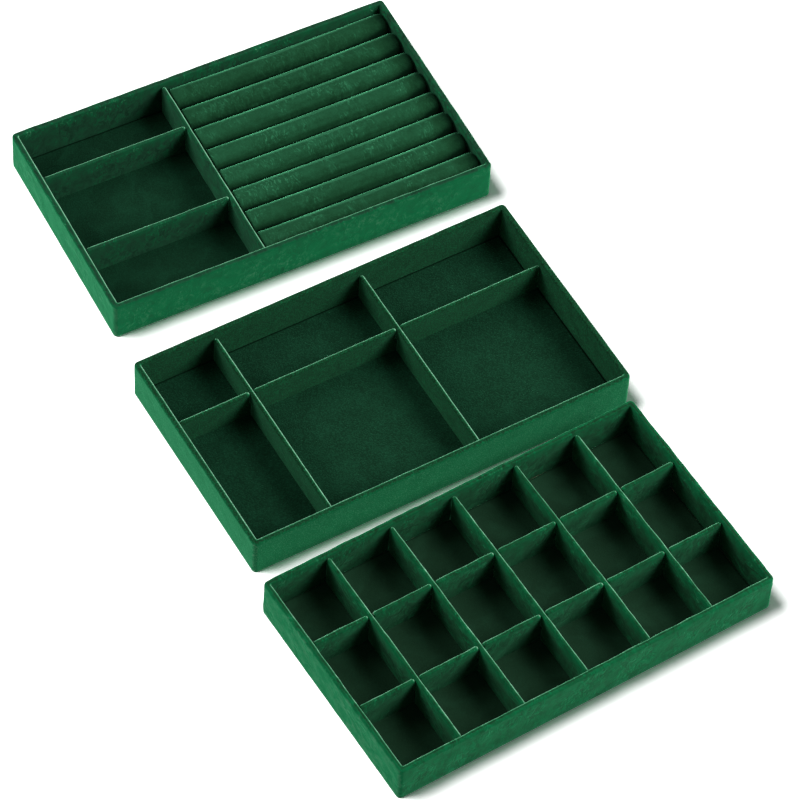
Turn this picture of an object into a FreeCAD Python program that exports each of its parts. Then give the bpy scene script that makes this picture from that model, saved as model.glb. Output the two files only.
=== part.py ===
"""Set of three velvet jewelry trays: a ring tray, a six-compartment tray and an eighteen-cell grid tray.

Each tray is a board box wrapped in velvet, with a padded floor and velvet-covered board dividers.
Millimetres. +X runs along the six tray, +Z is up, the origin is the centre of the six tray's underside.
"""
import FreeCAD, Part
import math
import os

Vector = FreeCAD.Vector

# The tray box, shared by the three trays
TRAY_LENGTH = 350.0
TRAY_WIDTH = 204.0
TRAY_HEIGHT = 39.5
WALL_BOARD = 3.4
BASE_BOARD = 2.6
FLOOR_PAD = 1.6
VELVET = 0.8
CORNER_RADIUS = 4.0
RIM_OUTER_RADIUS = 2.0
RIM_INNER_RADIUS = 1.5
TURN_IN = 14.0
COVER_GAP = 0.5
PAD_CLEARANCE = 0.3

# Dividers, which stand on the floor pad and stop short of the rim
DIVIDER_BOARD = 2.0
DIVIDER_EDGE_RADIUS = 1.5
DIVIDER_END_RADIUS = 2.5
END_CLEARANCE = 0.3
LAP_CLEARANCE = 0.3
RING_DIVIDER_DROP = 3.5
SIX_DIVIDER_DROP = 6.5
GRID_DIVIDER_DROP = 2.5

# Clear sizes of the compartments; the rest of the tray goes to the ones that are not named
RING_CELL_LENGTH = 132.2
RING_BACK_CELL = 46.2
RING_FRONT_CELL = 61.0
SIX_LEFT_CELL = 66.6
SIX_BACK_ROW = 60.0
GRID_CROSS_DIVIDERS = 5
GRID_END_CELL_CUT = 4.0
GRID_MIDDLE_ROW_EXTRA = 3.35

# Foam ring rolls, side by side across the ring bay, lower than the rim and pushed up to the partition
ROLL_COUNT = 8
ROLL_DROP = 4.5
ROLL_CROWN_RADIUS = 9.0
ROLL_FOOT_RADIUS = 6.0
ROLL_END_RADIUS = 4.5
ROLL_END_GAP = 0.6
ROLL_CLEARANCE = 0.4

# How the set is laid out: the ring tray behind the six tray, the grid tray in front, fanned a little
RING_TRAY_GAP = 46.5
RING_TRAY_SHIFT = 17.2
RING_TRAY_TURN_DEGREES = -2.7
GRID_TRAY_GAP = 26.0
GRID_TRAY_SHIFT = -7.5
GRID_TRAY_TURN_DEGREES = 2.25

# Levels and lines that follow from the sizes above
RIM = WALL_BOARD + 2 * VELVET
INNER_LENGTH = TRAY_LENGTH - 2 * RIM
INNER_WIDTH = TRAY_WIDTH - 2 * RIM
BOARD_LENGTH = TRAY_LENGTH - 2 * VELVET
BOARD_WIDTH = TRAY_WIDTH - 2 * VELVET
BASE_LENGTH = BOARD_LENGTH - 2 * WALL_BOARD
BASE_WIDTH = BOARD_WIDTH - 2 * WALL_BOARD
BOARD_TOP = TRAY_HEIGHT - VELVET
BASE_TOP = VELVET + BASE_BOARD
FLOOR_TOP = BASE_TOP + FLOOR_PAD
DIVIDER = DIVIDER_BOARD + 2 * VELVET
RING_BAY_LENGTH = INNER_LENGTH - RING_CELL_LENGTH - DIVIDER
ABOVE = 2 * TRAY_HEIGHT

# A rounded edge takes less than half of the thickness it is on, and edges are told apart to a hair
EDGE_LIMIT = 0.45
TOLERANCE = 1e-4


def slab(length, width, low, high):
    """Block centred on the tray, between two levels."""
    return Part.makeBox(length, width, high - low, Vector(-length / 2, -width / 2, low))


def edges_where(shape, test):
    """Edges of a shape whose bounding box passes a test."""
    return [edge for edge in shape.Edges if test(edge.BoundBox)]


def upright(box):
    return box.ZLength > box.XLength + box.YLength


def at_level(level):
    return lambda box: abs(box.ZMin - level) < TOLERANCE and abs(box.ZMax - level) < TOLERANCE


def rim_of(length, width, level):
    """Test for the edges round a centred opening at a level."""
    def on_rim(box):
        along = max(abs(box.XMin), abs(box.XMax)) < length / 2 + TOLERANCE
        across = max(abs(box.YMin), abs(box.YMax)) < width / 2 + TOLERANCE
        return along and across and at_level(level)(box)

    return on_rim


def eased(shape, edges, radius):
    """Plane the edges of a board down so that velvet of even thickness goes round them at a radius."""
    if radius <= VELVET:
        return shape
    return shape.makeChamfer((2 - math.sqrt(2)) * (radius - VELVET), edges)


def wall_frame():
    """The four wall boards as one closed frame, with the edges that the velvet goes round eased."""
    frame = slab(BOARD_LENGTH, BOARD_WIDTH, VELVET, BOARD_TOP)
    frame = eased(frame, edges_where(frame, upright), CORNER_RADIUS)
    frame = eased(frame, edges_where(frame, at_level(BOARD_TOP)), RIM_OUTER_RADIUS)
    frame = frame.cut(slab(BASE_LENGTH, BASE_WIDTH, 0, ABOVE))
    inner_rim = edges_where(frame, rim_of(BASE_LENGTH, BASE_WIDTH, BOARD_TOP))
    return eased(frame, inner_rim, RIM_INNER_RADIUS)


def wall_boards(frame):
    """Front and back walls run the full length, and the side walls sit in rabbets at their ends."""
    rabbet = WALL_BOARD / 2
    lip = slab(BOARD_LENGTH, BOARD_WIDTH, 0, ABOVE)
    lip = lip.cut(slab(BOARD_LENGTH, BOARD_WIDTH - 2 * (WALL_BOARD - rabbet), 0, ABOVE))
    face = slab(BASE_LENGTH, BOARD_WIDTH, 0, ABOVE)
    long_walls = frame.common(lip.fuse(face))
    side_walls = frame.cut(long_walls)
    front, back = sorted(long_walls.Solids, key=lambda wall: wall.CenterOfMass.y)
    left, right = sorted(side_walls.Solids, key=lambda wall: wall.CenterOfMass.x)
    return {"front_wall": front, "back_wall": back, "left_wall": left, "right_wall": right}


def velvet_wrap(frame):
    """One velvet skin: up the outside, over the rim, down to the base and turned in underneath."""
    skin = slab(TRAY_LENGTH, TRAY_WIDTH, 0, TRAY_HEIGHT)
    skin = skin.makeFillet(CORNER_RADIUS, edges_where(skin, upright))
    skin = skin.makeFillet(RIM_OUTER_RADIUS, edges_where(skin, at_level(TRAY_HEIGHT)))
    skin = skin.cut(slab(INNER_LENGTH, INNER_WIDTH, BASE_TOP, ABOVE))
    well_rim = edges_where(skin, rim_of(INNER_LENGTH, INNER_WIDTH, TRAY_HEIGHT))
    skin = skin.makeFillet(RIM_INNER_RADIUS, well_rim)
    window = slab(TRAY_LENGTH - 2 * TURN_IN, TRAY_WIDTH - 2 * TURN_IN, -VELVET, VELVET)
    base = slab(BASE_LENGTH, BASE_WIDTH, VELVET, BASE_TOP)
    return skin.cut([frame, base, window])


def tray_box():
    """The pieces that every tray has, around its own origin."""
    frame = wall_frame()
    pieces = wall_boards(frame)
    pieces["velvet_wrap"] = velvet_wrap(frame)
    pieces["base_board"] = slab(BASE_LENGTH, BASE_WIDTH, VELVET, BASE_TOP)
    cover_inset = 2 * (TURN_IN + COVER_GAP)
    pieces["bottom_cover"] = slab(TRAY_LENGTH - cover_inset, TRAY_WIDTH - cover_inset, 0, VELVET)
    pad_inset = 2 * PAD_CLEARANCE
    pieces["floor_pad"] = slab(INNER_LENGTH - pad_inset, INNER_WIDTH - pad_inset, BASE_TOP, FLOOR_TOP)
    return pieces


def lap_slot(place, middle, from_above, lining):
    """Cutter for half of a lap joint between two dividers, grown where a lining goes in afterwards."""
    width = DIVIDER + 2 * LAP_CLEARANCE + 2 * lining
    reach = LAP_CLEARANCE / 2 + lining
    if from_above:
        slot = slab(width, 2 * DIVIDER, middle - reach, ABOVE)
    else:
        slot = slab(width, 2 * DIVIDER, 0, middle + reach)
    return slot.translated(Vector(place, 0, 0))


def divider(span, drop, laps=(), laps_from_above=False):
    """Board and velvet of a divider that fills a span along X, with half-lap slots at given places.

    The velvet goes over the top and round the ends, and lines the slots.
    """
    length = span - 2 * END_CLEARANCE
    top = TRAY_HEIGHT - drop
    middle = (FLOOR_TOP + top) / 2
    edge_radius = min(DIVIDER_EDGE_RADIUS, EDGE_LIMIT * DIVIDER)

    def top_corner(box):
        return box.XLength < TOLERANCE and box.ZLength < TOLERANCE and box.ZMin > middle

    def face_edge(box):
        return box.YLength < TOLERANCE and not at_level(FLOOR_TOP)(box)

    velvet = slab(length, DIVIDER, FLOOR_TOP, top)
    velvet = velvet.makeFillet(DIVIDER_END_RADIUS, edges_where(velvet, top_corner))
    velvet = velvet.makeFillet(edge_radius, edges_where(velvet, face_edge))
    board = slab(length - 2 * VELVET, DIVIDER_BOARD, FLOOR_TOP, top - VELVET)
    board = eased(board, edges_where(board, top_corner), DIVIDER_END_RADIUS)
    board = eased(board, edges_where(board, face_edge), edge_radius)
    for lap in laps:
        velvet = velvet.cut(lap_slot(lap, middle, laps_from_above, 0))
        board = board.cut(lap_slot(lap, middle, laps_from_above, VELVET))
    return {"board": board, "velvet": velvet.cut(board)}


def add_divider(pieces, name, parts, x, y, across=False):
    """Set a divider in its tray, along X or turned across it."""
    for kind, shape in parts.items():
        if across:
            shape.rotate(Vector(), Vector(0, 0, 1), 90)
        shape.translate(Vector(x, y, 0))
        pieces[f"{name}_{kind}"] = shape


def ring_roll(length, width):
    """Foam roll in velvet: a crown with round shoulders, straight sides, a flat foot and drawn-in ends."""
    half = width / 2
    low = FLOOR_TOP
    high = TRAY_HEIGHT - ROLL_DROP
    crown = min(ROLL_CROWN_RADIUS, EDGE_LIMIT * width)
    foot = min(ROLL_FOOT_RADIUS, EDGE_LIMIT * width)
    inset = 1 - math.sqrt(0.5)

    def point(y, z):
        return Vector(-length / 2, y, z)

    def bend(start, corner, end):
        """Quarter circle that rounds a square corner off."""
        centre = start + end - corner
        return Part.Arc(start, corner + (centre - corner) * inset, end).toShape()

    outline = Part.Wire([
        Part.LineSegment(point(foot - half, low), point(half - foot, low)).toShape(),
        bend(point(half - foot, low), point(half, low), point(half, low + foot)),
        Part.LineSegment(point(half, low + foot), point(half, high - crown)).toShape(),
        bend(point(half, high - crown), point(half, high), point(half - crown, high)),
        Part.LineSegment(point(half - crown, high), point(crown - half, high)).toShape(),
        bend(point(crown - half, high), point(-half, high), point(-half, high - crown)),
        Part.LineSegment(point(-half, high - crown), point(-half, low + foot)).toShape(),
        bend(point(-half, low + foot), point(-half, low), point(foot - half, low)),
    ])
    roll = Part.Face(outline).extrude(Vector(length, 0, 0))
    return roll.makeFillet(ROLL_END_RADIUS, edges_where(roll, lambda box: box.XLength < TOLERANCE))


def ring_tray():
    """A partition splits the tray: three compartments on its left, the bay of ring rolls on its right."""
    pieces = tray_box()
    bay_left = INNER_LENGTH / 2 - RING_BAY_LENGTH
    partition = bay_left - DIVIDER / 2
    add_divider(pieces, "partition", divider(INNER_WIDTH, RING_DIVIDER_DROP), partition, 0, across=True)

    middle = RING_CELL_LENGTH / 2 - INNER_LENGTH / 2
    back = INNER_WIDTH / 2 - RING_BACK_CELL - DIVIDER / 2
    front = RING_FRONT_CELL + DIVIDER / 2 - INNER_WIDTH / 2
    add_divider(pieces, "back_divider", divider(RING_CELL_LENGTH, RING_DIVIDER_DROP), middle, back)
    add_divider(pieces, "front_divider", divider(RING_CELL_LENGTH, RING_DIVIDER_DROP), middle, front)

    pitch = INNER_WIDTH / ROLL_COUNT
    roll_length = RING_BAY_LENGTH - 2 * ROLL_CLEARANCE - ROLL_END_GAP
    roll = ring_roll(roll_length, pitch - ROLL_CLEARANCE)
    roll_middle = bay_left + ROLL_CLEARANCE + roll_length / 2
    for number in range(ROLL_COUNT):
        y = INNER_WIDTH / 2 - (number + 0.5) * pitch
        pieces[f"ring_roll_{number + 1}"] = roll.translated(Vector(roll_middle, y, 0))
    return pieces


def six_tray():
    """One long divider and two cross dividers, half-lapped, make six compartments."""
    pieces = tray_box()
    row = INNER_WIDTH / 2 - SIX_BACK_ROW - DIVIDER / 2
    left = SIX_LEFT_CELL + DIVIDER / 2 - INNER_LENGTH / 2
    right = (left + DIVIDER / 2 + INNER_LENGTH / 2) / 2
    long_divider = divider(INNER_LENGTH, SIX_DIVIDER_DROP, laps=(left, right), laps_from_above=True)
    add_divider(pieces, "long_divider", long_divider, 0, row)
    for name, x in {"left_divider": left, "right_divider": right}.items():
        cross_divider = divider(INNER_WIDTH, SIX_DIVIDER_DROP, laps=(row,))
        add_divider(pieces, name, cross_divider, x, 0, across=True)
    return pieces


def grid_tray():
    """Two long dividers and five cross dividers, half-lapped, make eighteen cells.

    The cells share the tray evenly, apart from shorter ones at its ends and a deeper middle row.
    """
    pieces = tray_box()
    clear_length = INNER_LENGTH - GRID_CROSS_DIVIDERS * DIVIDER
    pitch = (clear_length + 2 * GRID_END_CELL_CUT) / (GRID_CROSS_DIVIDERS + 1) + DIVIDER
    columns = [(number - (GRID_CROSS_DIVIDERS - 1) / 2) * pitch for number in range(GRID_CROSS_DIVIDERS)]
    middle_row = (INNER_WIDTH - 2 * DIVIDER + 2 * GRID_MIDDLE_ROW_EXTRA) / 3
    row = (middle_row + DIVIDER) / 2
    for name, y in {"back_long_divider": row, "front_long_divider": -row}.items():
        long_divider = divider(INNER_LENGTH, GRID_DIVIDER_DROP, laps=columns, laps_from_above=True)
        add_divider(pieces, name, long_divider, 0, y)
    for number, x in enumerate(columns):
        cross_divider = divider(INNER_WIDTH, GRID_DIVIDER_DROP, laps=(-row, row))
        add_divider(pieces, f"cross_divider_{number + 1}", cross_divider, x, 0, across=True)
    return pieces


# The set: every piece goes to its tray's place, and each becomes one node
TRAYS = {
    "ring_tray": (ring_tray(), RING_TRAY_SHIFT, TRAY_WIDTH + RING_TRAY_GAP, RING_TRAY_TURN_DEGREES),
    "six_tray": (six_tray(), 0, 0, 0),
    "grid_tray": (grid_tray(), GRID_TRAY_SHIFT, -TRAY_WIDTH - GRID_TRAY_GAP, GRID_TRAY_TURN_DEGREES),
}
os.makedirs("parts", exist_ok=True)
for tray, (pieces, x, y, turn) in TRAYS.items():
    for name, shape in pieces.items():
        shape = shape.copy()
        shape.rotate(Vector(), Vector(0, 0, 1), turn)
        shape.translate(Vector(x, y, 0))
        if len(shape.Solids) != 1 or not shape.isValid():
            raise ValueError(f"{tray}_{name} is not one sound solid")
        shape.Solids[0].exportStep(f"parts/{tray}_{name}.step")
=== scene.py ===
"""Looks of a set of three velvet jewelry trays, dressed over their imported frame.

Metres. The sections follow a tray as it is put together, and the studio comes last.
"""
import bmesh
import bpy
import math
from mathutils import Matrix, Vector, noise


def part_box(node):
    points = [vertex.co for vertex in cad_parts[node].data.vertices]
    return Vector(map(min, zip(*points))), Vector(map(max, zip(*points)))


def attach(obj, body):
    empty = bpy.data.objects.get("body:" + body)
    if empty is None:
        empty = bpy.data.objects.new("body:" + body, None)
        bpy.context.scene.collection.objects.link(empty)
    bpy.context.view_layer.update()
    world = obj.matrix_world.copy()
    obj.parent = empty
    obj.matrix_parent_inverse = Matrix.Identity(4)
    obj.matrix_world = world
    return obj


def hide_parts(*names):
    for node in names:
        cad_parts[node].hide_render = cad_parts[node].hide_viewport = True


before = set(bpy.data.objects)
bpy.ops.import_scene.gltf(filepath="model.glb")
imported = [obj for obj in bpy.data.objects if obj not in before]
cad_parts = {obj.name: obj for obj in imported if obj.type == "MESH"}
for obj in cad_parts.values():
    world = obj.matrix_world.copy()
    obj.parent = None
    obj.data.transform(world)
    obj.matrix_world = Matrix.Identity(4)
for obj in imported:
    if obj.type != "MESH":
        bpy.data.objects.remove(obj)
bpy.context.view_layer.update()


# Base boards: one sheet of pressed fibreboard under each tray, glued in between the four walls.
# A base is square with its tray, so it also tells where the tray stands and how far it is turned.
MM = 0.001
TRAYS = ("ring_tray", "six_tray", "grid_tray")
FIBRE_DARK = (0.105, 0.068, 0.042, 1)
FIBRE_LIGHT = (0.235, 0.160, 0.100, 1)
FIBRE_LENGTH = 2.2 * MM
FIBRE_STRETCH = (1, 0.35, 1)
FIBRE_RANGE = (0.3, 0.7)
FIBRE_ROUGHNESS = 0.92
FIBRE_POLISH = 0.12
FIBRE_RELIEF = 0.12 * MM
BARK_SIZE = 1.5 * FIBRE_LENGTH
BARK_RANGE = (0.62, 0.74)
BARK_SHADE = 0.6


def tray_place(tray):
    """Matrix from a tray's own square frame to where it stands in the set."""
    corners = [vertex.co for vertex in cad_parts[f"{tray}_base_board"].data.vertices]
    low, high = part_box(f"{tray}_base_board")
    front_left = min(corners, key=lambda corner: corner.x + corner.y)
    front_right = max(corners, key=lambda corner: corner.x - corner.y)
    along = front_right - front_left
    centre = Vector((low.x + high.x, low.y + high.y, 0)) / 2
    return Matrix.Translation(centre) @ Matrix.Rotation(math.atan2(along.y, along.x), 4, "Z")


class Shade:
    """One value in a material: arithmetic on it adds Math nodes, and node() adds any other node."""

    def __init__(self, tree, socket=None):
        self.tree = tree
        self.socket = socket

    def node(self, kind, settings, inputs, output=0):
        """Add a node with its settings and the values or links of its sockets, and return one output."""
        made = self.tree.nodes.new(kind)
        for name, value in settings.items():
            if name == "stops":
                stops = made.color_ramp.elements
                for number, (position, colour) in enumerate(value):
                    stop = stops[number] if number < len(stops) else stops.new(position)
                    stop.position = position
                    stop.color = colour
            else:
                setattr(made, name, value)
        for name, value in inputs.items():
            if isinstance(value, Shade):
                self.tree.links.new(value.socket, made.inputs[name])
            else:
                made.inputs[name].default_value = value
        return Shade(self.tree, made.outputs[output] if made.outputs else None)

    def math(self, operation, first, second):
        """Add a Math node."""
        return self.node("ShaderNodeMath", {"operation": operation}, {0: first, 1: second})

    def __add__(self, other):
        return self.math("ADD", self, other)

    __radd__ = __add__

    def __sub__(self, other):
        return self.math("SUBTRACT", self, other)

    def __rsub__(self, other):
        return self.math("SUBTRACT", other, self)

    def __mul__(self, other):
        return self.math("MULTIPLY", self, other)

    __rmul__ = __mul__


def new_material(name):
    """An empty material, and the value that its first nodes are made from."""
    material = bpy.data.materials.new(name)
    material.use_nodes = True
    material.node_tree.nodes.clear()
    return material, Shade(material.node_tree)


def object_points(start):
    """Points of a piece, for patterns that stay on it."""
    return start.node("ShaderNodeTexCoord", {}, {}, output="Object")


def shader(start, inputs):
    """The shader of one surface."""
    return start.node("ShaderNodeBsdfPrincipled", {}, inputs)


def surface(start, inputs):
    """The one shader that a material ends in."""
    start.node("ShaderNodeOutputMaterial", {}, {"Surface": shader(start, inputs)})


def mixed(factor, first, second):
    """Colour between two colours: inputs 6 and 7 of a Mix node, and its output 2."""
    mix = {"data_type": "RGBA"}
    return factor.node("ShaderNodeMix", mix, {0: factor, 6: first, 7: second}, output=2)


def spread(value, low, high):
    """A value stretched softly so that low becomes 0 and high becomes 1."""
    ends = {"Value": value, "From Min": low, "From Max": high}
    return value.node("ShaderNodeMapRange", {"interpolation_type": "SMOOTHSTEP"}, ends)


def cloudy(points, size, detail=2.0, distortion=0.0):
    """Soft noise with blotches of about a size."""
    inputs = {"Vector": points, "Scale": 1 / size, "Detail": detail, "Distortion": distortion}
    return points.node("ShaderNodeTexNoise", {}, inputs)


def stretched(points, scale):
    """Points on which a pattern is drawn out along the axes with a small scale."""
    return points.node("ShaderNodeMapping", {}, {"Vector": points, "Scale": scale})


def bumped(height, depth):
    """Normal for a relief of a depth."""
    return height.node("ShaderNodeBump", {}, {"Strength": 1.0, "Distance": depth, "Height": height})


def fibreboard(name, dark, light):
    """Pressed wood fibre: short matted strands, with darker specks of bark."""
    material, start = new_material(name)
    points = object_points(start)
    strands = cloudy(stretched(points, FIBRE_STRETCH), FIBRE_LENGTH, detail=4, distortion=1.5)
    bark = spread(cloudy(points, BARK_SIZE, detail=1), *BARK_RANGE)
    tone = spread(strands, *FIBRE_RANGE) * (1 - BARK_SHADE * bark)
    surface(start, {
        "Base Color": mixed(tone, dark, light),
        "Roughness": FIBRE_ROUGHNESS - FIBRE_POLISH * tone,
        "Normal": bumped(strands, FIBRE_RELIEF),
    })
    return material


def finish_node(node, material):
    """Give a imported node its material."""
    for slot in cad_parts[node].material_slots:
        slot.material = material


place = {tray: tray_place(tray) for tray in TRAYS}
wall_fibre = fibreboard("wall_fibre", FIBRE_DARK, FIBRE_LIGHT)
for tray in TRAYS:
    finish_node(f"{tray}_base_board", wall_fibre)


# Wall boards: four strips of the same fibreboard round the base, the side walls in rabbets of the long ones.
# Their top edges are chamfered, so that the velvet turns over them without a crease.
WALLS = ("front_wall", "back_wall", "left_wall", "right_wall")
for tray in TRAYS:
    for wall in WALLS:
        finish_node(f"{tray}_{wall}", wall_fibre)


# Velvet wraps: one piece of green velvet per tray, glued up the outside, over the rim and down to the base,
# and turned in underneath. The pile is crushed on the ring and grid trays, and lies smooth on the six tray.
# Painted light and shade are marked on the mesh: 0 is the pile as it is, above 0 painted lighter, below 0
# painted shade.
X, Y, Z = 0, 1, 2
HAIR = 0.01 * MM
CUT_SNAP = 0.001 * MM
RIM = 5.0 * MM
CORNER_RADIUS = 4.0 * MM
WELL_CORNER_RADIUS = 1.0 * MM
RIM_OUTER_RADIUS = 2.0 * MM
RIM_INNER_RADIUS = 1.5 * MM
BOTTOM_RADIUS = 0.8 * MM
TURN_IN = 14.0 * MM
CLOTH = 0.5 * MM
CLOTH_STEP = 3.0 * MM
STILL_BELOW = 2.0 * MM
RIPPLE_LENGTH = 14.0 * MM
RIPPLE_DEPTH = {"ring_tray": 0.32 * MM, "six_tray": 0.18 * MM, "grid_tray": 0.42 * MM}
FINE_RIPPLE = 0.4

# Colours of the pile from painted shade to painted highlights, and the tones that they have on a ramp
# The darkest colour is reached where random marks dip, and is the colour of painted shade.
PILE_DARKEST_AND_SHADE = (0.0020, 0.010, 0.0045, 1)
PILE_STANDING = (0.0088, 0.046, 0.0190, 1)
RING_STANDING = (0.0115, 0.050, 0.0255, 1)
# The brushed colour also paints the light on the outer faces.
PILE_LIT_AND_BRUSHED = (0.0045, 0.130, 0.046, 1)
PILE_LIGHT = (0.050, 0.185, 0.095, 1)
PILE_PALE = (0.30, 0.62, 0.42, 1)
STANDING_TONE = 0.2
LIT_AND_BRUSHED_TONE = 0.5
LIGHT_TONE = 0.72
PILE_SHEEN = {"ring_tray": 1.0, "six_tray": 1.0, "grid_tray": 0.7}
PILE_SHEEN_TINT = (0.22, 1.0, 0.51, 1)
PILE_SHEEN_ROUGHNESS = 0.30
PILE_ROUGHNESS = 0.95
PILE_POLISH = 0.15
PILE_RELIEF = 0.15 * MM

# Marks in the pile: wide patches, soft blotches, strokes, tufts, and feathered marks where the painted light
# is middling
PATCH = 24.0 * MM
PATCH_RANGE = (0.36, 0.62)
BLOTCH = 9.0 * MM
BLOTCH_MEAN = 0.5
BLOTCH_TONE = 0.32
SWIRL = 20.0 * MM
SWIRL_REACH = 9.0 * MM
STROKE = 3.4 * MM
STROKE_STRETCH = (0.7, 0.4, 0.55)
STROKE_RANGE = (0.34, 0.72)
STROKE_MEAN = 0.4
STROKE_CALM = 0.25
STROKE_TONE = 0.16
TUFT = 1.2 * MM
TUFT_RANGE = (0.42, 0.70)
TUFT_MEAN = 0.38
BARB = 2.5 * MM
BARB_STRETCH = (1.5, 0.5, 0.6)
BARB_RANGE = (0.53, 0.72)
FEATHER_CALM = 0.03
HALF_LIT = 0.09
CRUSH = {"ring_tray": 0.9, "six_tray": 0.45, "grid_tray": 1.0}
GRAIN = {"ring_tray": 0.04, "six_tray": 0.20, "grid_tray": 0.05}
FEATHER = {"ring_tray": 3.4, "six_tray": 0.7, "grid_tray": 2.6}

# Painted light and shade at each place, and the range below 0 over which the painted shade takes over
PAINTED_SHADE_RANGE = (0.06, 0.20)
# Outside: painted light on the outer faces and the grid's rim, lighter corners, and painted shade on the
# grid's front.
OUTER_PAINTED_LIGHT = {"ring_tray": 0.28, "six_tray": 0.29, "grid_tray": 0.34}
FRONT_PAINTED_SHADE = {"ring_tray": 0.0, "six_tray": 0.0, "grid_tray": 0.20}
CORNER_LIGHTENING = 0.10
RIM_PAINTED_LIGHT = {"ring_tray": 0.0, "six_tray": 0.0, "grid_tray": 0.15}
# Inside: painted highlights along the top edges, and painted light or shade towards the tops of the faces.
EDGE_HIGHLIGHT = {"ring_tray": 0.76, "six_tray": 0.78, "grid_tray": 0.58}
EDGE_DEPTH = 4.0 * MM
TOP_PAINTED_LIGHT = {"ring_tray": 0.12, "six_tray": 0.04, "grid_tray": 0.17}
LEFT_LIGHT_AND_SHADE = {"ring_tray": -0.05, "six_tray": -0.02, "grid_tray": 0.11}
TOP_LIGHT_DEPTH = 15.0 * MM


def own_box(tray, node):
    """Lowest and highest corner of a node in its tray's own square frame."""
    back = place[tray].inverted()
    points = [back @ vertex.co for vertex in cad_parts[f"{tray}_{node}"].data.vertices]
    return [Vector([limit(point[axis] for point in points) for axis in (X, Y, Z)]) for limit in (min, max)]


def add_box(shape, low, high):
    """Box between two corners."""
    middle = Matrix.Translation((low + high) / 2)
    bmesh.ops.create_cube(shape, size=1, matrix=middle @ Matrix.Diagonal((*(high - low), 1)))
    shape.normal_update()


def lying(parts, axis, level):
    """Those edges or faces that lie wholly at a level along an axis."""
    return [part for part in parts if all(abs(vertex.co[axis] - level) < HAIR for vertex in part.verts)]


def open_loop(shape, level):
    """Edges of the open boundaries at a level."""
    return [edge for edge in lying(shape.edges, Z, level) if edge.is_boundary]


def upright_edges(shape):
    """Edges that rise by over half their length."""
    return [edge for edge in shape.edges
            if abs(edge.verts[0].co.z - edge.verts[1].co.z) > 0.5 * edge.calc_length()]


def faces_along(shape, axis):
    """Faces that look along an axis, one way or the other."""
    return [face for face in shape.faces if abs(face.normal[axis]) > 0.5]


def rounded(shape, edges, radius, segments):
    """Round edges off at a radius."""
    bmesh.ops.bevel(shape, geom=list(edges), offset=radius, offset_type="OFFSET", segments=segments,
                    profile=0.5, affect="EDGES", material=-1)


def new_points(made):
    """Points among the parts that an operator made."""
    return [part for part in made["geom"] if isinstance(part, bmesh.types.BMVert)]


def extended(shape, edges):
    """Carry the cloth on from an open edge, and return its new points."""
    return new_points(bmesh.ops.extrude_edge_only(shape, edges=edges))


def sliced(shape, axes):
    """Cut a shape across some axes into a mesh of about a cloth step, for the ripples of the cloth."""
    for axis in axes:
        low = min(vertex.co[axis] for vertex in shape.verts)
        high = max(vertex.co[axis] for vertex in shape.verts)
        count = max(1, round((high - low) / CLOTH_STEP))
        normal = Vector([float(axis == other) for other in (X, Y, Z)])
        for number in range(1, count):
            parts = [*shape.verts, *shape.edges, *shape.faces]
            point = normal * (low + (high - low) * number / count)
            bmesh.ops.bisect_plane(shape, geom=parts, dist=CUT_SNAP, plane_co=point, plane_no=normal)


def rippled(shape, depth):
    """Uneven as hand-glued cloth: every point moves along its normal, apart from those at the table."""
    shape.normal_update()
    moves = []
    for vertex in shape.verts:
        spot = vertex.co / RIPPLE_LENGTH
        swell = noise.noise(spot) + FINE_RIPPLE * noise.noise(spot / FINE_RIPPLE)
        held = min(1.0, vertex.co.z / STILL_BELOW)
        moves.append(vertex.normal * (depth * held * swell))
    for vertex, move in zip(shape.verts, moves):
        vertex.co += move


def mark_pile(shape, light_and_shade):
    """Mark the painted light and shade on the pile, given by a function of a point's place and normal."""
    shape.normal_update()
    layer = shape.verts.layers.float.new("light_and_shade")
    for vertex in shape.verts:
        vertex[layer] = light_and_shade(vertex.co, vertex.normal)


def new_piece(name, shape, material):
    """Object at the origin with a shape's mesh, smooth all over."""
    for face in shape.faces:
        face.smooth = True
    for edge in shape.edges:
        edge.smooth = not edge.is_boundary
    mesh = bpy.data.meshes.new(name)
    shape.to_mesh(mesh)
    shape.free()
    mesh.materials.append(material)
    piece = bpy.data.objects.new(name, mesh)
    bpy.context.scene.collection.objects.link(piece)
    return piece


def dress(tray, node, name, shape, material, ripple=None):
    """Make a shape in a tray's own frame the piece that stands for a node of that tray."""
    bmesh.ops.recalc_face_normals(shape, faces=shape.faces)
    shape.transform(place[tray])
    rippled(shape, ripple or RIPPLE_DEPTH[tray])
    piece = new_piece(f"{tray}_{name}", shape, material)
    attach(piece, tray)
    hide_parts(f"{tray}_{node}")
    return piece


def thicken(piece):
    """Give a skin the thickness of its cloth, on the side of the board."""
    skin = piece.modifiers.new("cloth", "SOLIDIFY")
    skin.thickness = CLOTH
    skin.offset = -1


def swirled(points, size, reach):
    """Points carried about by a reach, so that strokes on them run every way."""
    inputs = {"Vector": points, "Scale": 1 / size, "Detail": 1.0}
    drift = points.node("ShaderNodeTexNoise", {}, inputs, output="Color")
    carry = {"operation": "MULTIPLY_ADD"}
    return points.node("ShaderNodeVectorMath", carry, {0: drift, 1: (reach,) * 3, 2: points})


def marked_light_and_shade(start):
    """The painted light and shade that a mesh is marked with."""
    return start.node("ShaderNodeAttribute", {"attribute_name": "light_and_shade"}, {}, output="Fac")


def two_surfaces(share, first, second):
    """A material that goes over from one shader to another where share goes from 0 to 1."""
    both = share.node("ShaderNodeMixShader", {}, {0: share, 1: first, 2: second})
    share.node("ShaderNodeOutputMaterial", {}, {"Surface": both})


def painted_shade_pile(start):
    """Painted shade: dark pile without any sheen, for the joints round the floor pads and the rolls' fronts
    and right ends.
    """
    return shader(start, {"Base Color": PILE_DARKEST_AND_SHADE, "Roughness": 1.0, "Specular IOR Level": 0.0})


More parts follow.
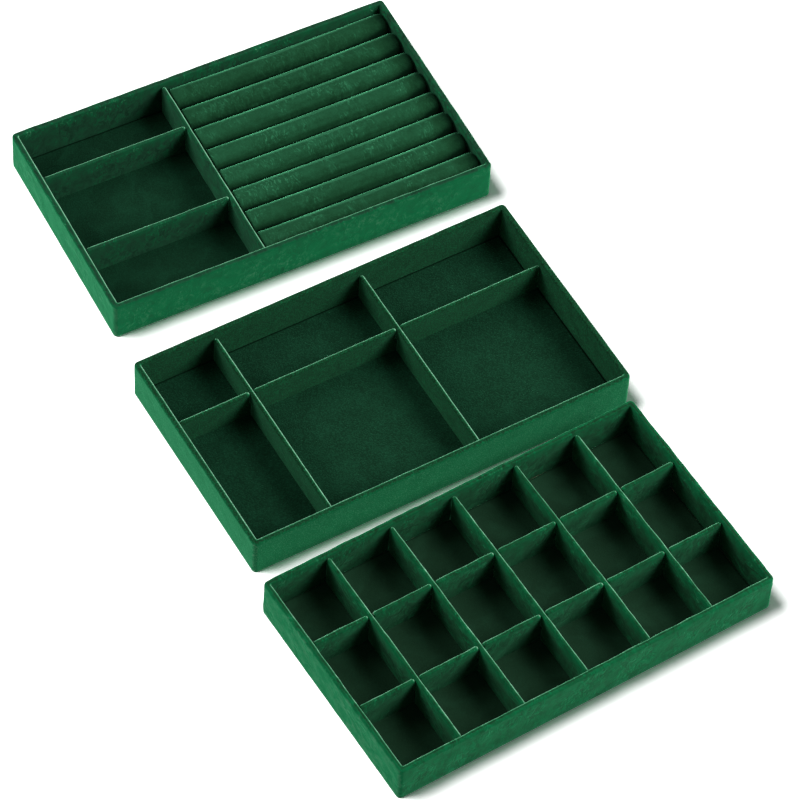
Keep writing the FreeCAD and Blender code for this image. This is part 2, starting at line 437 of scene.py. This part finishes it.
def pile_stops(standing, lit_and_brushed):
    """Colours of a pile from its darkest, also used for painted shade, to the pale of painted highlights, as
    stops of a ramp.
    """
    dark = [(0, PILE_DARKEST_AND_SHADE), (STANDING_TONE, standing)]
    return dark + [(LIT_AND_BRUSHED_TONE, lit_and_brushed), (LIGHT_TONE, PILE_LIGHT), (1, PILE_PALE)]


def velvet(name, stops, crush, grain, feather, sheen):
    """Short-pile velvet: dark where it stands, lighter in brushed strokes and painted light, with painted
    highlights and shade.
    """
    material, start = new_material(name)
    points = object_points(start)
    light_and_shade = marked_light_and_shade(start)
    patches = spread(cloudy(points, PATCH, detail=1), *PATCH_RANGE)
    blotches = cloudy(points, BLOTCH, distortion=0.8) - BLOTCH_MEAN
    swirls = swirled(points, SWIRL, SWIRL_REACH)
    strokes = spread(cloudy(stretched(swirls, STROKE_STRETCH), STROKE, distortion=0.9), *STROKE_RANGE)
    nap = (strokes - STROKE_MEAN) * (STROKE_CALM + (1 - STROKE_CALM) * patches)
    tufts = spread(cloudy(points, TUFT, detail=1), *TUFT_RANGE) - TUFT_MEAN
    barbs = cloudy(stretched(swirls, BARB_STRETCH), BARB, detail=1, distortion=1.1)
    half_lit = start.math("MAXIMUM", start.math("MINIMUM", light_and_shade, 2 * HALF_LIT - light_and_shade), 0.0)
    feathers = spread(barbs, *BARB_RANGE) * patches * (FEATHER_CALM + half_lit)
    crushed = crush * (STROKE_TONE * nap + BLOTCH_TONE * blotches)
    tone = STANDING_TONE + crushed + grain * tufts + feather * feathers + light_and_shade
    open_pile = shader(start, {
        "Base Color": start.node("ShaderNodeValToRGB", {"stops": stops}, {"Fac": tone}),
        "Roughness": PILE_ROUGHNESS - PILE_POLISH * strokes,
        "Specular IOR Level": 0.0,
        "Sheen Weight": sheen,
        "Sheen Roughness": PILE_SHEEN_ROUGHNESS,
        "Sheen Tint": PILE_SHEEN_TINT,
        "Normal": bumped(crush * nap + grain * tufts, PILE_RELIEF),
    })
    # Below 0 the marked value goes over to painted shade, dark and without sheen.
    two_surfaces(spread(0 - light_and_shade, *PAINTED_SHADE_RANGE), open_pile, painted_shade_pile(start))
    return material


def wrap_skin(low, high, base_top):
    """The velvet's outer side: outside, rim, well and the strip turned in underneath."""
    shape = bmesh.new()
    add_box(shape, low, high)
    bmesh.ops.delete(shape, geom=faces_along(shape, Z), context="FACES_ONLY")
    rounded(shape, upright_edges(shape), CORNER_RADIUS, segments=6)
    bottom = open_loop(shape, low.z)
    rim = open_loop(shape, high.z)

    turned = extended(shape, bottom)
    size = high - low
    kept = Vector((1 - 2 * TURN_IN / size.x, 1 - 2 * TURN_IN / size.y, 1))
    bmesh.ops.scale(shape, verts=turned, vec=kept)

    tighter = WELL_CORNER_RADIUS / CORNER_RADIUS
    for vertex in extended(shape, rim):
        for axis in (X, Y):
            round_part = abs(vertex.co[axis]) - (high[axis] - CORNER_RADIUS)
            reach = high[axis] - RIM - WELL_CORNER_RADIUS + tighter * round_part
            vertex.co[axis] = math.copysign(reach, vertex.co[axis])
    well_rim = open_loop(shape, high.z)
    bmesh.ops.translate(shape, verts=extended(shape, well_rim), vec=(0, 0, base_top - high.z))

    bmesh.ops.recalc_face_normals(shape, faces=shape.faces)
    rounded(shape, well_rim, RIM_INNER_RADIUS, segments=4)
    rounded(shape, rim, RIM_OUTER_RADIUS, segments=4)
    rounded(shape, bottom, BOTTOM_RADIUS, segments=2)
    sliced(shape, (X, Y, Z))
    return shape


def turned_over(outward, upward):
    """How much of an edge this is, from 0 on the flat to 1 where the cloth is half turned over."""
    return max(0.0, 2 * outward * upward)


def inner_light_and_shade(tray, point, normal, top):
    """Inside: painted light towards the top, and a painted highlight where the cloth turns to the back or
    right.
    """
    depth = top - point.z
    side = TOP_PAINTED_LIGHT[tray] * math.hypot(normal.x, normal.y) + LEFT_LIGHT_AND_SHADE[tray] * max(0.0, -normal.x)
    top_light = side * max(0.0, 1 - depth / TOP_LIGHT_DEPTH)
    if depth > EDGE_DEPTH:
        return top_light
    return top_light + EDGE_HIGHLIGHT[tray] * turned_over(max(normal.x, normal.y), normal.z)


def wrap_light_and_shade(tray, point, normal, high):
    """Outside: painted light on the outer faces and rim, lighter at the corners, and painted shade on the
    front.
    """
    if max(abs(point.x) - high.x, abs(point.y) - high.y) < -RIM / 2:
        return inner_light_and_shade(tray, point, normal, high.z)
    outside = OUTER_PAINTED_LIGHT[tray] * math.hypot(normal.x, normal.y) ** 2
    corner = CORNER_LIGHTENING * 2 * abs(normal.x * normal.y)
    rim = RIM_PAINTED_LIGHT[tray] * max(0.0, normal.z)
    return outside + corner + rim - FRONT_PAINTED_SHADE[tray] * max(0.0, -normal.y) ** 2


pile = {}
for tray in TRAYS:
    stops = pile_stops(RING_STANDING if tray == "ring_tray" else PILE_STANDING, PILE_LIT_AND_BRUSHED)
    pile[tray] = velvet(f"{tray}_pile", stops, CRUSH[tray], GRAIN[tray], FEATHER[tray], PILE_SHEEN[tray])
wrap_low, wrap_high = own_box("six_tray", "velvet_wrap")
wrap_pattern = wrap_skin(wrap_low, wrap_high, own_box("six_tray", "base_board")[1].z)
for tray in TRAYS:
    skin = wrap_pattern.copy()
    mark_pile(skin, lambda point, normal: wrap_light_and_shade(tray, point, normal, wrap_high))
    wrap = dress(tray, "velvet_wrap", "wrap", skin, pile[tray])
    thicken(wrap)


# Bottom covers: a sheet of dark felt glued under the base, inside the frame of turned-in velvet.
# Its edges are cut, so they are only a little soft.
FELT_DARK = (0.006, 0.018, 0.012, 1)
FELT_LIGHT = (0.018, 0.050, 0.034, 1)
FELT_HAIR = 1.4 * MM
FELT_HAIR_SHARE = 0.75
FELT_CLOUD = 12 * FELT_HAIR
FELT_RANGE = (0.35, 0.68)
FELT_ROUGHNESS = 0.98
FELT_POLISH = 0.08
FELT_SPECULAR = 0.2
FELT_SHEEN = 0.25
FELT_SHEEN_ROUGHNESS = 0.5
FELT_SHEEN_TINT = (0.45, 0.90, 0.68, 1)
FELT_RELIEF = 0.2 * MM
FELT_EDGE_RADIUS = 0.3 * MM


def felt(name):
    """Pressed wool: fine tangled hairs of two tones."""
    material, start = new_material(name)
    points = object_points(start)
    hairs = cloudy(points, FELT_HAIR, detail=6, distortion=3)
    clouds = cloudy(points, FELT_CLOUD)
    tone = spread(FELT_HAIR_SHARE * hairs + (1 - FELT_HAIR_SHARE) * clouds, *FELT_RANGE)
    surface(start, {
        "Base Color": mixed(tone, FELT_DARK, FELT_LIGHT),
        "Roughness": FELT_ROUGHNESS - FELT_POLISH * tone,
        "Specular IOR Level": FELT_SPECULAR,
        "Sheen Weight": FELT_SHEEN,
        "Sheen Roughness": FELT_SHEEN_ROUGHNESS,
        "Sheen Tint": FELT_SHEEN_TINT,
        "Normal": bumped(hairs, FELT_RELIEF),
    })
    return material


cover_felt = felt("cover_felt")
for tray in TRAYS:
    panel = bmesh.new()
    add_box(panel, *own_box(tray, "bottom_cover"))
    rounded(panel, panel.edges, FELT_EDGE_RADIUS, segments=2)
    dress(tray, "bottom_cover", "felt_bottom", panel, cover_felt)


# Floor pads: thin foam under the same velvet, cut a little small and laid on the base.
# The pile lies flat there, so it is darker than on the walls, and the pad's edge falls away at the walls.
# Round that edge, painted shade is marked in the joint against the walls.
PAD_CORNER_RADIUS = 1.0 * MM
PAD_EDGE_RADIUS = 0.9 * MM
PAD_JOINT = 1.3 * MM
PAD_JOINT_SHADE = {"ring_tray": 1.0, "six_tray": 1.0, "grid_tray": 0.5}
FLOOR_TONES = ((0.0050, 0.0235, 0.0115, 1), (0.0085, 0.052, 0.0250, 1))
# The grid tray's floors are lighter and greyer: painted light in the floors of its deep cells.
LIGHTENED_FLOOR_TONES = ((0.0120, 0.0370, 0.0190, 1), (0.0170, 0.060, 0.0310, 1))
FLOOR_SHEEN = 1.0
FLOOR_ROUGHNESS = 0.96
FLOOR_POLISH = 0.12
MARK = 2.5 * BLOTCH
MARK_RANGE = (0.4, 0.7)
MARK_RELIEF = 0.4
PEBBLE = 1.1 * MM
PEBBLE_RANGE = (0.38, 0.70)
PEBBLE_CALM = 0.1
PEBBLE_RELIEF = 0.3 * MM
FLOOR_CRUSH = {"ring_tray": 0.3, "six_tray": 0.25, "grid_tray": 0.4}
FLOOR_PEBBLE = {"ring_tray": 0.4, "six_tray": 0.72, "grid_tray": 0.2}


def floor_velvet(name, deep, lifted, crush, pebble):
    """Velvet pressed flat: a fine pebbled grain, with faint marks where things lay on it."""
    material, start = new_material(name)
    points = object_points(start)
    marks = spread(cloudy(points, MARK, detail=3, distortion=0.8), *MARK_RANGE)
    pebbles = spread(cloudy(points, PEBBLE), *PEBBLE_RANGE)
    tone = crush * marks + pebble * (PEBBLE_CALM + (1 - PEBBLE_CALM) * pebbles)
    pressed = shader(start, {
        "Base Color": mixed(tone, deep, lifted),
        "Roughness": FLOOR_ROUGHNESS - FLOOR_POLISH * pebbles,
        "Specular IOR Level": 0.0,
        "Sheen Weight": FLOOR_SHEEN,
        "Sheen Roughness": PILE_SHEEN_ROUGHNESS,
        "Sheen Tint": PILE_SHEEN_TINT,
        "Normal": bumped(pebble * pebbles + MARK_RELIEF * marks, PEBBLE_RELIEF),
    })
    # Painted shade takes over in the joint round the pad.
    two_surfaces(marked_light_and_shade(start), pressed, painted_shade_pile(start))
    return material


def pad_painted_shade(tray, point, high):
    """Painted shade in the joint round the pad, against the walls."""
    inside = min(high.x - abs(point.x), high.y - abs(point.y))
    return PAD_JOINT_SHADE[tray] if inside < PAD_EDGE_RADIUS + HAIR else 0.0


for tray in TRAYS:
    pad = bmesh.new()
    pad_low, pad_high = own_box(tray, "floor_pad")
    add_box(pad, pad_low, pad_high)
    rounded(pad, upright_edges(pad), PAD_CORNER_RADIUS, segments=4)
    rounded(pad, lying(pad.edges, Z, pad_high.z), PAD_EDGE_RADIUS, segments=4)
    bmesh.ops.inset_region(pad, faces=lying(pad.faces, Z, pad_high.z), thickness=PAD_JOINT)
    sliced(pad, (X, Y))
    mark_pile(pad, lambda point, normal: pad_painted_shade(tray, point, pad_high))
    tones = LIGHTENED_FLOOR_TONES if tray == "grid_tray" else FLOOR_TONES
    flat_pile = floor_velvet(f"{tray}_floor_pile", *tones, FLOOR_CRUSH[tray], FLOOR_PEBBLE[tray])
    dress(tray, "floor_pad", "floor", pad, flat_pile)


# Divider boards: strips of grey cardboard on edge, half-lapped where they cross.
# Velvet covers all but their lower edges, which stand on the floor pad.
CARD_DARK = (0.16, 0.155, 0.145, 1)
CARD_LIGHT = (0.33, 0.32, 0.30, 1)
CROSS_DIVIDER_COUNT = 5
CROSS_DIVIDERS = [f"cross_divider_{number}" for number in range(1, CROSS_DIVIDER_COUNT + 1)]
DIVIDERS = {
    "ring_tray": ("partition", "back_divider", "front_divider"),
    "six_tray": ("long_divider", "left_divider", "right_divider"),
    "grid_tray": ("back_long_divider", "front_long_divider", *CROSS_DIVIDERS),
}
card = fibreboard("divider_card", CARD_DARK, CARD_LIGHT)
for tray, dividers in DIVIDERS.items():
    for divider in dividers:
        finish_node(f"{tray}_{divider}_board", card)


# Divider sleeves: velvet glued over each divider's top, faces and ends, and into its slots.
# The ones along the tray are slotted from above and the ones across it from below, so these run on through.
LAP_CLEARANCE = 0.3 * MM
SLEEVE_END_RADIUS = 2.5 * MM
SLEEVE_EDGE_RADIUS = 1.7 * MM
SLOT_EDGE_RADIUS = 0.3 * MM


def crossings(tray, divider, axis):
    """Where the other dividers of a tray cross this one, along it, and how thick they are."""
    low, high = own_box(tray, f"{divider}_velvet")
    found = []
    for other in DIVIDERS[tray]:
        other_low, other_high = own_box(tray, f"{other}_velvet")
        meets = all(other_low[way] < high[way] and low[way] < other_high[way] for way in (X, Y))
        if other != divider and meets:
            found.append(((other_low[axis] + other_high[axis]) / 2, other_high[axis] - other_low[axis]))
    return sorted(found)


def sleeve_outline(start, end, low, high, laps, from_above):
    """Side view of a sleeve, as points along it and upwards, with a slot at each lap."""
    middle = (low + high) / 2
    mouth = high if from_above else low
    depth = middle - LAP_CLEARANCE / 2 if from_above else middle + LAP_CLEARANCE / 2
    slotted = []
    for centre, thickness in laps:
        left = centre - thickness / 2 - LAP_CLEARANCE
        right = centre + thickness / 2 + LAP_CLEARANCE
        slotted += [(left, mouth), (left, depth), (right, depth), (right, mouth)]
    if from_above:
        return [(start, high), *slotted, (end, high), (end, low), (start, low)]
    return [(start, low), *slotted, (end, low), (end, high), (start, high)]


def sleeve_side(low, high, along, across, laps):
    """One side of a sleeve, flat, with its top corners rounded."""
    shape = bmesh.new()
    corners = []
    for reach, level in sleeve_outline(low[along], high[along], low.z, high.z, laps, along == X):
        corner = Vector((0, 0, level))
        corner[along] = reach
        corner[across] = low[across]
        corners.append(shape.verts.new(corner))
    shape.faces.new(corners)
    tips = [corner for corner in corners if corner.co.z > high.z - HAIR]
    bmesh.ops.bevel(shape, geom=tips, offset=SLEEVE_END_RADIUS, offset_type="OFFSET", segments=5,
                    profile=0.5, affect="VERTICES", material=-1)
    return shape


def in_slot(edge, low, high):
    """Whether an edge of a sleeve that runs from front to back belongs to a slot in its underside."""
    inside = all(low.y + HAIR < vertex.co.y < high.y - HAIR for vertex in edge.verts)
    return inside and all(vertex.co.z < (low.z + high.z) / 2 + LAP_CLEARANCE for vertex in edge.verts)


def sleeve_skin(tray, divider):
    """The velvet's outer side on one divider, open underneath."""
    low, high = own_box(tray, f"{divider}_velvet")
    along, across = (X, Y) if high.x - low.x > high.y - low.y else (Y, X)
    shape = sleeve_side(low, high, along, across, crossings(tray, divider, along))
    made = bmesh.ops.extrude_face_region(shape, geom=list(shape.faces), use_keep_orig=True)
    thickness = Vector((0, 0, 0))
    thickness[across] = high[across] - low[across]
    bmesh.ops.translate(shape, verts=new_points(made), vec=thickness)
    bmesh.ops.delete(shape, geom=lying(shape.faces, Z, low.z), context="FACES_ONLY")
    bmesh.ops.recalc_face_normals(shape, faces=shape.faces)
    edges = {edge for face in faces_along(shape, across) for edge in face.edges if not edge.is_boundary}
    slots = {edge for edge in edges if along == Y and in_slot(edge, low, high)}
    rounded(shape, edges - slots, SLEEVE_EDGE_RADIUS, segments=6)
    rounded(shape, [edge for edge in slots if edge.is_valid], SLOT_EDGE_RADIUS, segments=2)
    sliced(shape, (along, Z))
    return shape


for tray, dividers in DIVIDERS.items():
    for divider in dividers:
        skin = sleeve_skin(tray, divider)
        top = own_box(tray, f"{divider}_velvet")[1].z
        mark_pile(skin, lambda point, normal: inner_light_and_shade(tray, point, normal, top))
        sleeve = dress(tray, f"{divider}_velvet", f"{divider}_sleeve", skin, pile[tray])
        thicken(sleeve)


# Ring rolls: eight sticks of foam in velvet, packed side by side so that a ring is held between two.
# The cloth is drawn tight over a round crown and tucked in at the ends and under the foot.
ROLL_COUNT = 8
ROLLS = [f"ring_roll_{number}" for number in range(1, ROLL_COUNT + 1)]
ROLL_CROWN_RADIUS = 9.0 * MM
ROLL_FOOT_RADIUS = 6.0 * MM
ROLL_LEFT_RADIUS = 1.5 * MM
ROLL_RIGHT_RADIUS = 1.2 * MM
ROLL_SLACK = 0.4 * MM
ROLL_VOXEL = 2.0 * MM
ROLL_PRESSURE = 4.0
ROLL_SWELL_CAP = 0.8 * MM
ROLL_FRAMES = 20
ROLL_RIPPLE = 0.05 * MM
# The rolls' brushed colour also serves for the painted highlights on their back edges.
ROLL_LIT_AND_BRUSHED = (0.0220, 0.125, 0.058, 1)
ROLL_SHEEN = 1.0
ROLL_CRUSH = 0.4
ROLL_GRAIN = 0.04
ROLL_FEATHER = 2.6
# Painted light on the crests, painted highlights on the back edges, painted shade on the fronts and a
# painted shadow at the right ends.
ROLL_CREST_LIGHTS = (0.045, 0.045, 0.09, 0.10, 0.10, 0.09, 0.07, 0.06)
ROLL_BACK_HIGHLIGHT = 0.36
ROLL_BACK_RANGE = (0.5, 0.9)
ROLL_FRONT_SHADE = 0.22
ROLL_FRONT_FALL = 4
ROLL_END_SHADE = 0.17
ROLL_END_SHADOW_LENGTH = 22.0 * MM


def roll_core(low, high):
    """A roll before the foam fills it, a little slack."""
    shape = bmesh.new()
    slack = Vector((ROLL_SLACK, ROLL_SLACK / 2, 0))
    low, high = low + slack, high - slack - Vector((0, 0, ROLL_SLACK))
    add_box(shape, low, high)

    def along(level):
        """Edges that run along the roll at a level."""
        edges = lying(shape.edges, Z, level)
        return [edge for edge in edges if abs(edge.verts[0].co.x - edge.verts[1].co.x) > HAIR]

    rounded(shape, along(high.z), ROLL_CROWN_RADIUS, segments=10)
    rounded(shape, along(low.z), ROLL_FOOT_RADIUS, segments=6)
    rounded(shape, lying(shape.edges, X, low.x), ROLL_LEFT_RADIUS, segments=3)
    rounded(shape, lying(shape.edges, X, high.x), ROLL_RIGHT_RADIUS, segments=5)
    return shape


def plumped(shape, low, high):
    """Swell a roll as its foam fills it, up to its neighbours: cloth under pressure, held at the foot."""
    cloth = new_piece("roll_cloth", shape, roll_pile)
    remesh = cloth.modifiers.new("voxels", "REMESH")
    remesh.mode = "VOXEL"
    remesh.voxel_size = ROLL_VOXEL
    graph = bpy.context.evaluated_depsgraph_get()
    slack = bpy.data.meshes.new_from_object(cloth.evaluated_get(graph))
    cloth.modifiers.clear()
    cloth.data = slack
    result = bmesh.new()
    result.from_mesh(slack)
    foot = cloth.vertex_groups.new(name="foot")
    lowest = min(vertex.co.z for vertex in slack.vertices)
    held = [vertex.index for vertex in slack.vertices if vertex.co.z < lowest + ROLL_VOXEL / 2]
    foot.add(held, 1.0, "REPLACE")
    cover = cloth.modifiers.new("cover", "CLOTH")
    cover.settings.use_pressure = True
    cover.settings.uniform_pressure_force = ROLL_PRESSURE
    cover.settings.vertex_group_mass = foot.name
    cover.settings.effector_weights.gravity = 0
    cover.point_cache.frame_end = ROLL_FRAMES
    for number in range(1, ROLL_FRAMES + 1):
        bpy.context.scene.frame_set(number)
    graph = bpy.context.evaluated_depsgraph_get()
    swollen = cloth.evaluated_get(graph).data
    for vertex, target in zip(result.verts, swollen.vertices):
        move = target.co - vertex.co
        move.length = min(move.length, ROLL_SWELL_CAP)
        vertex.co += move
        vertex.co.y = min(max(vertex.co.y, low.y), high.y)
    bpy.context.scene.frame_set(1)
    bpy.data.objects.remove(cloth)
    return result


def roll_light_and_shade(point, normal, crest_light, right_end):
    """Painted light on the crest, a painted highlight on the back edge, painted shade on the front and a
    painted shadow at the right end.
    """
    back_start, back_end = ROLL_BACK_RANGE
    back = min(1.0, max(0.0, (normal.y - back_start) / (back_end - back_start))) ** 2
    # How far into the painted shadow at the right end.
    pressed = max(0.0, 1 - (right_end - point.x) / ROLL_END_SHADOW_LENGTH)
    light = (ROLL_BACK_HIGHLIGHT * back + crest_light * max(0.0, normal.z)) * (1 - pressed)
    front = max(0.0, -normal.y) ** ROLL_FRONT_FALL
    return light - ROLL_FRONT_SHADE * front - ROLL_END_SHADE * pressed


roll_stops = pile_stops(PILE_STANDING, ROLL_LIT_AND_BRUSHED)
roll_pile = velvet("roll_pile", roll_stops, ROLL_CRUSH, ROLL_GRAIN, ROLL_FEATHER, ROLL_SHEEN)
first_low, first_high = own_box("ring_tray", ROLLS[0])
roll_pattern = plumped(roll_core(first_low, first_high), first_low, first_high)
for roll, crest_light in zip(ROLLS, ROLL_CREST_LIGHTS):
    stuffed = roll_pattern.copy()
    mark_pile(stuffed, lambda point, normal: roll_light_and_shade(point, normal, crest_light, first_high.x))
    bmesh.ops.translate(stuffed, verts=stuffed.verts, vec=own_box("ring_tray", roll)[0] - first_low)
    name = roll.replace("ring_", "velvet_")
    piece = dress("ring_tray", roll, name, stuffed, roll_pile, ROLL_RIPPLE)
    smooth = piece.modifiers.new("smooth", "SUBSURF")
    smooth.levels = 1
    smooth.render_levels = 1


# The studio: a white table under a dim white dome, with a softbox to the left of the picture and one to the
# right, which leave the table out. The table has a sun of its own, for the soft shadows of the trays, and is
# lifted to white where the camera sees it.
WHITE = (1, 1, 1, 1)
TABLE_SIZE = 24.0
TABLE_DROP = 0.2 * MM
TABLE_COLOUR = (0.86, 0.86, 0.86, 1)
TABLE_SEEN = (1.5, 1.5, 1.5, 1)
DOME = 0.13
DOME_SEEN = 1.0
LEFT, RIGHT = -1, 1
LAMP_DISTANCE = 2.6
SOFTBOX_SIZE = 1.5
LEFT_POWER = 50.0
LEFT_ELEVATION = math.radians(32)
RIGHT_POWER = 87.0
RIGHT_ELEVATION = math.radians(42)
SUN_STRENGTH = 3.6
SUN_ELEVATION = math.radians(64)
SUN_SPREAD = math.radians(25)
LENS = 214.2
SENSOR = 36.0
CAMERA_AIM = Vector((12.87, -9.17, 0)) * MM
CAMERA_DISTANCE = 3891.7 * MM
CAMERA_AZIMUTH = math.radians(33.04)
CAMERA_ELEVATION = math.radians(53.93)
CAMERA_ROLL = math.radians(3.82)


def seen(start):
    """1 for what the camera sees, straight or in a gloss, and 0 for light that falls on the trays."""
    def ray(kind):
        """1 for one kind of ray, and 0 for others."""
        return start.node("ShaderNodeLightPath", {}, {}, output=f"Is {kind} Ray")

    return start.math("MAXIMUM", ray("Camera"), start.math("MAXIMUM", ray("Glossy"), ray("Transmission")))


def table_material():
    """Matt white board, brighter where the camera sees it."""
    material, start = new_material("white_table")
    board = start.node("ShaderNodeBsdfDiffuse", {}, {"Color": TABLE_COLOUR})
    bright = start.node("ShaderNodeBsdfDiffuse", {}, {"Color": TABLE_SEEN})
    two_surfaces(seen(start), board, bright)
    return material


def softbox(name, power):
    """Square lamp with a soft light."""
    lamp = bpy.data.lights.new(name, "AREA")
    lamp.energy = power
    lamp.size = SOFTBOX_SIZE
    return lamp


def add_light(lamp, side, elevation, table_state):
    """Lamp at a side of the picture, turned to the set. It lights only the table, or all but the table."""
    light = bpy.data.objects.new(lamp.name, lamp)
    across = Vector((math.cos(CAMERA_AZIMUTH), -math.sin(CAMERA_AZIMUTH), 0)) * side
    away = across * math.cos(elevation) + Vector((0, 0, math.sin(elevation)))
    light.location = away * LAMP_DISTANCE
    light.rotation_euler = away.to_track_quat("Z", "Y").to_euler()
    bpy.context.scene.collection.objects.link(light)
    lit = bpy.data.collections.new(f"{lamp.name}_share")
    lit.objects.link(table)
    lit.collection_objects[0].light_linking.link_state = table_state
    light.light_linking.receiver_collection = lit


table_top = bmesh.new()
bmesh.ops.create_grid(table_top, x_segments=1, y_segments=1, size=TABLE_SIZE / 2)
bmesh.ops.translate(table_top, verts=table_top.verts, vec=(0, 0, -TABLE_DROP))
table = new_piece("table", table_top, table_material())

scene = bpy.context.scene
scene.world = bpy.data.worlds.new("studio")
scene.world.use_nodes = True
scene.world.node_tree.nodes.clear()
sky = Shade(scene.world.node_tree)
dome = sky.node("ShaderNodeBackground", {}, {"Color": WHITE, "Strength": DOME})
backdrop = sky.node("ShaderNodeBackground", {}, {"Color": WHITE, "Strength": DOME_SEEN})
surroundings = sky.node("ShaderNodeMixShader", {}, {0: seen(sky), 1: dome, 2: backdrop})
sky.node("ShaderNodeOutputWorld", {}, {"Surface": surroundings})

add_light(softbox("left_softbox", LEFT_POWER), LEFT, LEFT_ELEVATION, "EXCLUDE")
add_light(softbox("right_softbox", RIGHT_POWER), RIGHT, RIGHT_ELEVATION, "EXCLUDE")
sun = bpy.data.lights.new("table_light", "SUN")
sun.energy = SUN_STRENGTH
sun.angle = SUN_SPREAD
add_light(sun, LEFT, SUN_ELEVATION, "INCLUDE")

turn = (Matrix.Rotation(-CAMERA_AZIMUTH, 4, "Z") @ Matrix.Rotation(math.pi / 2 - CAMERA_ELEVATION, 4, "X")
        @ Matrix.Rotation(CAMERA_ROLL, 4, "Z"))
optics = bpy.data.cameras.new("camera")
optics.lens = LENS
optics.sensor_width = SENSOR
camera = bpy.data.objects.new("camera", optics)
camera.matrix_world = Matrix.Translation(CAMERA_AIM) @ turn @ Matrix.Translation((0, 0, CAMERA_DISTANCE))
scene.collection.objects.link(camera)
scene.camera = camera
scene.view_settings.view_transform = "Standard"
